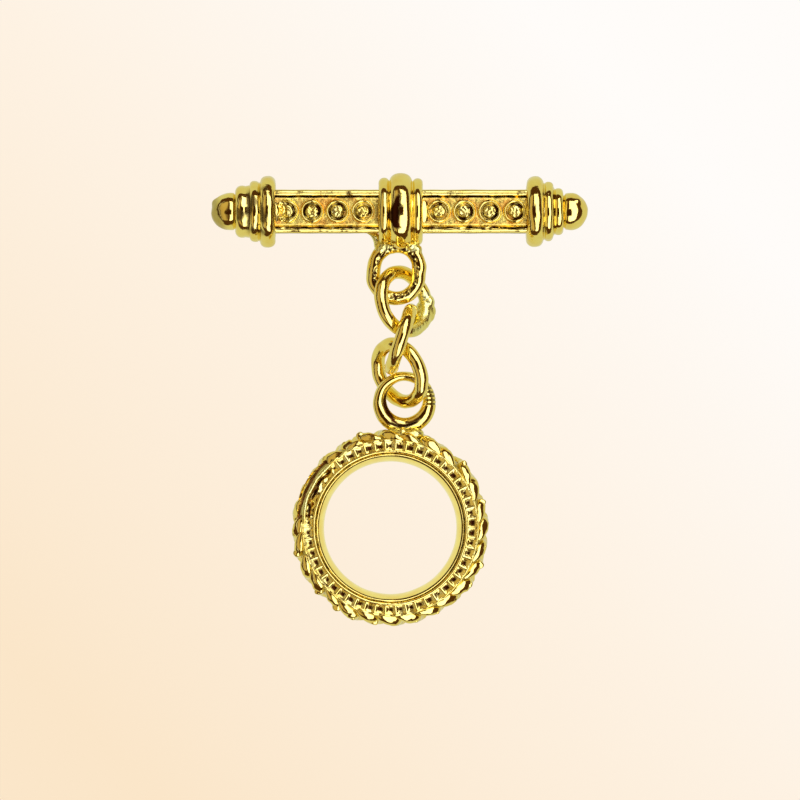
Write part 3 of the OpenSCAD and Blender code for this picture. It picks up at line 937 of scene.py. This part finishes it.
class OBJECT_OT_clasp_ring_loop(bpy.types.Operator):
    """Build the worn loop on the toggle ring"""
    bl_idname = "object.clasp_ring_loop"
    bl_label = "Ring Loop"

    def execute(self, context):
        bm = bmesh.new()
        path_r, half = 2.25, 0.59
        round_wire(bm, path_r, 2 * half, 360, 36)
        # The hole is worn off centre, away from the ring
        outer, hole, off = 2.84, context.scene.toggle_ring_settings.loop_hole / MM / 2, 0.33
        for v in bm.verts:
            turn = math.atan2(v.co.y, v.co.x)
            inner = off * math.sin(turn) + math.sqrt(hole ** 2 - (off * math.cos(turn)) ** 2)
            out = (outer + inner) / 2 + (outer - inner) / 2 * (v.co.xy.length - path_r) / half
            v.co.x, v.co.y = out * math.cos(turn), out * math.sin(turn)
            # The crown is worn at a slant, down to the right
            v.co.z -= 0.2 * (out - (outer + inner) / 2) * math.cos(turn) * ramp(v.co.z, 0, 0.3)
        bm.normal_update()
        for v in bm.verts:
            v.co -= v.normal * 0.16 * file_cut(v.co)
        # Painted shade in the file cuts and along the inside of the hole
        tarnish(bm, lambda co: max(1.2 * file_cut(co), loop_painted_shade(co)))
        hand_work(bm, 0.03, 0.9, 91)
        foot = bmesh.new()
        for x, y, z, wide, deep in RING_LOOP_SOLDER:
            blob(foot, (x, y, z), (wide, deep, 1.5), 4)
        melt(foot, 0.06, 14)
        hand_work(foot, 0.05, 0.7, 95)
        join(bm, foot)
        place_in(bm, Matrix.Translation(RING_LOOP_MID))
        piece(bm, "ring_loop", "polished solder", "toggle_ring", 0,
              lambda c: c.y < RING_LOOP_MID.y - 2.35 and c.z > RING_LOOP_MID.z)
        return {"FINISHED"}


def loop_painted_shade(co):
    """Painted shade as a black line inside the hole: broad left of the hole, thin and ragged below it"""
    turn, out = round_the_ring(co)
    low = ramp(turn, 215, 262)
    at, half = 1.72 + 0.3 * low + 0.05 * speckle(co, 0.4, 92), 0.24 - 0.13 * low
    line = ramp(half - abs(out - at), -0.05, 0.04)
    return line * ramp(turn, 105, 135) * (1 - ramp(turn, 300, 325)) * ramp(co.z, 0.0, 0.15)


def file_cut(co):
    """1 at the bottom of the file cuts on the right of the ring loop, 0 beside them"""
    if co.x < 1.8 or co.z < -0.2:
        return 0.0
    nearest = min(abs(co.y - 1.35 + 0.36 * i) for i in range(5))
    return max(0.0, 1 - nearest / 0.11) * ramp(co.x, 1.8, 2.0)


# The stage

# Width of the camera's sensor in the lens's own unit, and of one pixel of the photo on the table
SENSOR = 36.0
PIXEL = 0.09 * MM


class OBJECT_OT_clasp_stage(bpy.types.Operator):
    """Lay the pale table, hang the lights and set the camera"""
    bl_idname = "object.clasp_stage"
    bl_label = "Table, Lights and Camera"

    def execute(self, context):
        s = context.scene.studio_settings
        camera = bpy.data.cameras.new("catalogue_camera")
        camera.lens = s.lens
        camera.sensor_width = SENSOR
        camera.clip_start, camera.clip_end = 0.01, 50.0
        eye = bpy.data.objects.new("catalogue_camera", camera)
        # Half a pixel aside, as in the photo; View Width is measured at half the clasp's height
        eye.location = (0.5 * PIXEL, -0.5 * PIXEL, s.view_width * s.lens / SENSOR + 3.5 * MM)
        context.scene.collection.objects.link(eye)
        context.scene.camera = eye
        lay_table(context)
        hang_lights(context)
        context.scene.view_settings.view_transform = "Standard"
        return {"FINISHED"}


def lay_table(context):
    """Lays the pale card; the gold reflects it plainer, greener and darker than the camera sees it, as
    painted shade of the clasp on the card
    """
    bm = bmesh.new()
    # A hair below the part, because two faces in one plane flicker in a view from below
    lower = Matrix.Translation((0, 0, -0.02 * MM))
    bmesh.ops.create_grid(bm, x_segments=4, y_segments=4, size=1.5, matrix=lower)
    mesh = bpy.data.meshes.new("table")
    bm.to_mesh(mesh)
    bm.free()
    s = context.scene.studio_settings
    near, middle, far = list(s.table_near), list(s.table_middle), list(s.table_far)
    made, tree = new_material("pale_peach_card")
    coords = add_node(tree, "TexCoord").outputs["Object"]
    parts = add_node(tree, "SeparateXYZ", {0: coords}).outputs
    # The colour changes along the picture's diagonal
    slant = add_node(tree, "Math", {0: parts[0], 1: parts[1]}).outputs[0]
    rise = add_node(tree, "MapRange", {0: slant, 1: -0.8 * s.view_width, 2: 0.0}).outputs[0]
    fade = add_node(tree, "MapRange", {0: slant, 1: 0.0, 2: 0.65 * s.view_width}).outputs[0]
    low = add_node(tree, "Mix", {0: rise, 6: near, 7: middle}, data_type="RGBA").outputs[2]
    card = add_node(tree, "Mix", {0: fade, 6: low, 7: far}, data_type="RGBA").outputs[2]
    seen = add_node(tree, "Emission", {"Color": card, "Strength": 1.0}).outputs[0]
    # Painted light: the gold sees a brighter card inside the ring, where the ring's wall lights it
    ring_mid = (RING_MID.x * MM, RING_MID.y * MM, 0)
    off = add_node(tree, "VectorMath", {0: coords, 1: ring_mid}, operation="DISTANCE").outputs["Value"]
    painted_bounce_light = add_node(tree, "MapRange", {0: off, 1: 5 * MM, 2: 7.5 * MM, 3: 1.25, 4: 1.0}).outputs[0]
    # The darker, greener card that the gold reflects is painted shade
    plain = add_node(tree, "Emission", {"Color": linear("#DADBC2"), "Strength": painted_bounce_light}).outputs[0]
    path = add_node(tree, "LightPath").outputs["Is Camera Ray"]
    shown = add_node(tree, "MixShader", {0: path, 1: plain, 2: seen}).outputs[0]
    add_node(tree, "OutputMaterial", {"Surface": shown})
    mesh.materials.append(made)
    table = bpy.data.objects.new("table", mesh)
    context.scene.collection.objects.link(table)


# Panels of the tent's ceiling, the last one the dark opening for the lens: left, right, low and high edge
# as slopes, then softness, colour and strength
CEILING = (
    (-1.45, -0.42, -1.8, 1.8, 0.14, "#FFE4AA", 0.62),
    (-2.40, -1.75, -2.6, 2.6, 0.12, "#FFFFFF", 0.8),
    (-0.06, 1.10, -2.2, 2.2, 0.07, "#F2F4FF", 2.7),
    (-0.50, 0.24, -0.32, 0.36, 0.07, "#3A1E0A", 1.0),
)
# Colour and strength of the dim brown room between the panels
ROOM = ("#FFAE69", 0.085)


def light_colour(hex_colour, strength):
    """Linear colour of a light of the given strength"""
    return [c * strength for c in linear(hex_colour)[:3]] + [1.0]


def hang_lights(context):
    """Light tent as a world: reflections show a window, the lens opening or the dark gap above the table"""
    world = bpy.data.worlds.new("light_tent")
    context.scene.world = world
    world.use_nodes = True
    tree = world.node_tree
    tree.nodes.clear()
    way = add_node(tree, "TexCoord").outputs["Generated"]
    x, y, z = add_node(tree, "SeparateXYZ", {0: way}).outputs
    above = add_node(tree, "Math", {0: z, 1: 0.0}, operation="GREATER_THAN").outputs[0]
    # Where a ray meets the tent's ceiling, as slopes from straight up
    height = add_node(tree, "Math", {0: z, 1: 0.05}, operation="MAXIMUM").outputs[0]
    slope_x = add_node(tree, "Math", {0: x, 1: height}, operation="DIVIDE").outputs[0]
    slope_y = add_node(tree, "Math", {0: y, 1: height}, operation="DIVIDE").outputs[0]

    def band(value, low, high, soft):
        """1 between two edges and 0 beyond them, with soft sides"""
        rise = add_node(tree, "MapRange", {0: value, 1: low - soft, 2: low + soft},
                        interpolation_type="SMOOTHSTEP").outputs[0]
        fall = add_node(tree, "MapRange", {0: value, 1: high - soft, 2: high + soft, 3: 1.0, 4: 0.0},
                        interpolation_type="SMOOTHSTEP").outputs[0]
        return add_node(tree, "Math", {0: rise, 1: fall}, operation="MULTIPLY").outputs[0]

    def panel(under, left, right, low, high, soft, hex_colour, strength):
        """Hangs one panel of the ceiling over what is there"""
        across, along = band(slope_x, left, right, soft), band(slope_y, low, high, soft)
        mask = add_node(tree, "Math", {0: across, 1: along}, operation="MULTIPLY").outputs[0]
        mask = add_node(tree, "Math", {0: mask, 1: above}, operation="MULTIPLY").outputs[0]
        tone = light_colour(hex_colour, strength)
        return add_node(tree, "Mix", {0: mask, 6: under, 7: tone}, data_type="RGBA").outputs[2]

    tone = light_colour(*ROOM)
    for row in CEILING:
        tone = panel(tone, *row)
    seen = add_node(tree, "Background", {"Color": linear("#FDF3E6"), "Strength": 1.0}).outputs[0]
    lit = add_node(tree, "Background", {"Color": tone, "Strength": 1.0}).outputs[0]
    path = add_node(tree, "LightPath").outputs["Is Camera Ray"]
    both = add_node(tree, "MixShader", {0: path, 1: lit, 2: seen}).outputs[0]
    add_node(tree, "OutputWorld", {"Surface": both})


class VIEW3D_PT_toggle_clasp(bpy.types.Panel):
    """Sidebar panel of the toggle clasp"""
    bl_idname = "VIEW3D_PT_toggle_clasp"
    bl_label = "Toggle Clasp"
    bl_space_type = "VIEW_3D"
    bl_region_type = "UI"
    bl_category = "Toggle Clasp"

    def draw(self, context):
        for maker in OPERATORS:
            self.layout.operator(maker.bl_idname)
        for name in SETTINGS:
            group = getattr(context.scene, name)
            for key in group.bl_rna.properties.keys():
                if key not in ("rna_type", "name"):
                    self.layout.prop(group, key)


CLASSES = (
    *SETTINGS.values(),
    OBJECT_OT_clasp_stage, OBJECT_OT_clasp_bar, OBJECT_OT_clasp_bezels, OBJECT_OT_clasp_caps,
    OBJECT_OT_clasp_collar, OBJECT_OT_clasp_bar_loop, OBJECT_OT_clasp_links, OBJECT_OT_clasp_ring,
    OBJECT_OT_clasp_rope, OBJECT_OT_clasp_ring_loop,
    VIEW3D_PT_toggle_clasp,
)
OPERATORS = [c for c in CLASSES if issubclass(c, bpy.types.Operator)]


def register():
    """Registers the classes and gives the scene its settings"""
    for kind in CLASSES:
        bpy.utils.register_class(kind)
    for name, group in SETTINGS.items():
        setattr(bpy.types.Scene, name, bpy.props.PointerProperty(type=group))


def unregister():
    """Takes the settings and the classes away again"""
    for name in SETTINGS:
        delattr(bpy.types.Scene, name)
    for kind in reversed(CLASSES):
        bpy.utils.unregister_class(kind)


def main():
    register()
    for maker in OPERATORS:
        group, name = maker.bl_idname.split(".")
        getattr(getattr(bpy.ops, group), name)()
    bpy.context.view_layer.update()


if __name__ == "__main__":
    main()
